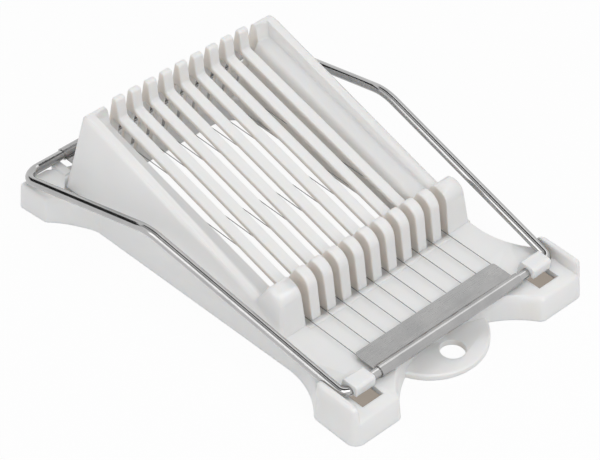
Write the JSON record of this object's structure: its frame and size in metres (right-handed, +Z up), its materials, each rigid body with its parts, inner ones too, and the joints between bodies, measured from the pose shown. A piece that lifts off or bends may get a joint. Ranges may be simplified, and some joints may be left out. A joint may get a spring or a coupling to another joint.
{
  "type": "cheese slicer",
  "caption": "White plastic slicer with an inclined slotted bed and a hinged steel rod frame that pulls taut wires down through the slots.",
  "frame": {"origin": "centre of the closed slicer's bounding box on the table plane under the base", "axes": "+X across the wires, +Y from the hinge end towards the raised rear fingers, +Z up from the table"},
  "size_m": [0.1334, 0.1896, 0.0506],
  "materials": {
    "white_plastic": "satin",
    "rod_steel": "polished",
    "strip_steel": "satin",
    "wire_steel": "drawn"
  },
  "bodies": {
    "base": {"front_platform": "white_plastic", "rear_platform": "white_plastic", "hanging_tab": "white_plastic", "left_side_wall": "white_plastic", "right_side_wall": "white_plastic", "left_hinge_clip": "white_plastic", "right_hinge_clip": "white_plastic", "slicing_rib_1": "white_plastic", "slicing_rib_2": "white_plastic", "slicing_rib_3": "white_plastic", "slicing_rib_4": "white_plastic", "slicing_rib_5": "white_plastic", "slicing_rib_6": "white_plastic", "slicing_rib_7": "white_plastic", "slicing_rib_8": "white_plastic", "slicing_rib_9": "white_plastic"},
    "cutting_frame": {"frame_rod": "rod_steel", "front_wire_strip": "strip_steel", "rear_wire_strip": "strip_steel", "cutting_wire_01": "wire_steel", "cutting_wire_02": "wire_steel", "cutting_wire_03": "wire_steel", "cutting_wire_04": "wire_steel", "cutting_wire_05": "wire_steel", "cutting_wire_06": "wire_steel", "cutting_wire_07": "wire_steel", "cutting_wire_08": "wire_steel", "cutting_wire_09": "wire_steel", "cutting_wire_10": "wire_steel"}
  },
  "joints": [
    {"name": "frame_hinge", "type": "hinge", "parent": "base", "child": "cutting_frame", "pos_m": [0, -0.08132, 0.0137], "axis": [1, 0, 0], "range_deg": [0, 165]}
  ]
}
